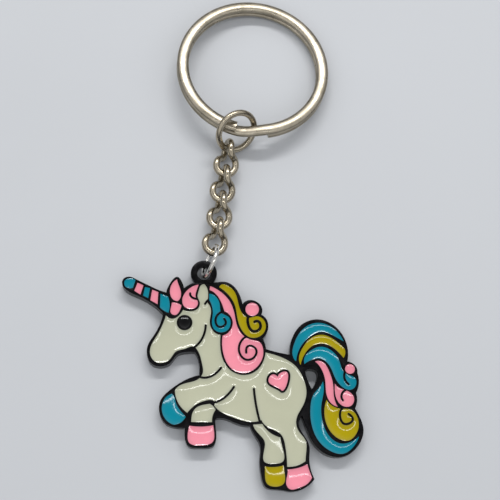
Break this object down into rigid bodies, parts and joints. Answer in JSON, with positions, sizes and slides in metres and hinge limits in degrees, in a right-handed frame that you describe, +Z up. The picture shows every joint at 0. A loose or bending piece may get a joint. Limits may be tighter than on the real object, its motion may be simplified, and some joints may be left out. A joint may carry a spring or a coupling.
{
  "type": "enamel charm keychain",
  "caption": "Flat enamelled unicorn charm hung on a short twisted-link chain with a split ring for keys.",
  "frame": {"origin": "middle of the footprint of the whole keychain, on the surface it lies on", "axes": "+Z up out of the enamelled face, +Y from the pendant along the chain to the split ring, +X from the horn to the tail"},
  "size_m": [0.0444, 0.0966, 0.0081],
  "materials": {
    "black_nickel": "die-cast zinc plated in black nickel, satin with worn ridge tops",
    "enamel_cream": "glossy poured soft enamel, drawn up at the ridges",
    "enamel_pink": "glossy poured soft enamel, drawn up at the ridges",
    "enamel_teal": "glossy poured soft enamel, drawn up at the ridges",
    "enamel_yellow": "glossy poured soft enamel, drawn up at the ridges",
    "enamel_black": "glossy poured soft enamel, drawn up at the ridges",
    "silver_wire": "bright silver plating",
    "nickel_wire": "warm nickel plating, slightly tarnished",
    "nickel_split_ring": "warm nickel plating over spring steel"
  },
  "bodies": {
    "pendant": {"pendant_casting": "black_nickel", "enamel_body": "enamel_cream", "enamel_far_foreleg": "enamel_cream", "enamel_far_hind_leg": "enamel_cream", "enamel_eye": "enamel_black", "enamel_heart": "enamel_pink", "enamel_horn_1": "enamel_teal", "enamel_horn_2": "enamel_pink", "enamel_horn_3": "enamel_teal", "enamel_horn_4": "enamel_pink", "enamel_horn_5": "enamel_teal", "enamel_forelock_leaf": "enamel_pink", "enamel_forelock_drop": "enamel_pink", "enamel_forelock_curl": "enamel_pink", "enamel_near_fore_hoof": "enamel_teal", "enamel_far_fore_hoof": "enamel_pink", "enamel_far_hind_hoof": "enamel_yellow", "enamel_near_hind_hoof": "enamel_pink", "enamel_mane_teal": "enamel_teal", "enamel_mane_pink": "enamel_pink", "enamel_mane_yellow": "enamel_yellow", "enamel_mane_ball": "enamel_pink", "enamel_tail_teal_arc": "enamel_teal", "enamel_tail_yellow_arc": "enamel_yellow", "enamel_tail_teal_curl": "enamel_teal", "enamel_tail_ball": "enamel_pink", "enamel_tail_pink_strand": "enamel_pink", "enamel_tail_pink_curl": "enamel_pink", "enamel_tail_teal_sweep": "enamel_teal", "enamel_tail_yellow_curl": "enamel_yellow"},
    "lower_jump_ring": {"lower_jump_ring": "silver_wire"},
    "chain_link_4": {"chain_link_4": "nickel_wire"},
    "chain_link_3": {"chain_link_3": "nickel_wire"},
    "chain_link_2": {"chain_link_2": "nickel_wire"},
    "chain_link_1": {"chain_link_1": "nickel_wire"},
    "upper_jump_ring": {"upper_jump_ring": "nickel_wire"},
    "split_ring": {"split_ring": "nickel_split_ring"}
  },
  "joints": [
    {"name": "lower_ring_turns_in_eyelet", "type": "hinge", "parent": "pendant", "child": "lower_jump_ring", "pos_m": [-0.00589, -0.00626, 0.00338], "axis": [0.9142, -0.297, -0.2756], "range_deg": [-25, 60]},
    {"name": "chain_link_4_swings", "type": "hinge", "parent": "lower_jump_ring", "child": "chain_link_4", "pos_m": [-0.00516, -0.00333, 0.00266], "axis": [0.3291, 0.1474, 0.9327], "range_deg": [-45, 45]},
    {"name": "chain_link_3_swings", "type": "hinge", "parent": "chain_link_4", "child": "chain_link_3", "pos_m": [-0.00429, 0.00215, 0.00251], "axis": [0.2762, -0.0183, 0.9609], "range_deg": [-45, 45]},
    {"name": "chain_link_2_swings", "type": "hinge", "parent": "chain_link_3", "child": "chain_link_2", "pos_m": [-0.00374, 0.00742, 0.00251], "axis": [-0.2406, 0.0253, -0.9703], "range_deg": [-45, 45]},
    {"name": "chain_link_1_swings", "type": "hinge", "parent": "chain_link_2", "child": "chain_link_1", "pos_m": [-0.00309, 0.01268, 0.00251], "axis": [0.2736, -0.0336, 0.9613], "range_deg": [-45, 45]},
    {"name": "upper_ring_swings", "type": "hinge", "parent": "chain_link_1", "child": "upper_jump_ring", "pos_m": [-0.00294, 0.01759, 0.00149], "axis": [-0.3031, -0.5892, -0.749], "range_deg": [-12, 45]},
    {"name": "split_ring_swings", "type": "hinge", "parent": "upper_jump_ring", "child": "split_ring", "pos_m": [-0.00109, 0.01944, 0.00434], "axis": [0.9971, -0.0297, -0.0694], "range_deg": [-12, 12]}
  ]
}
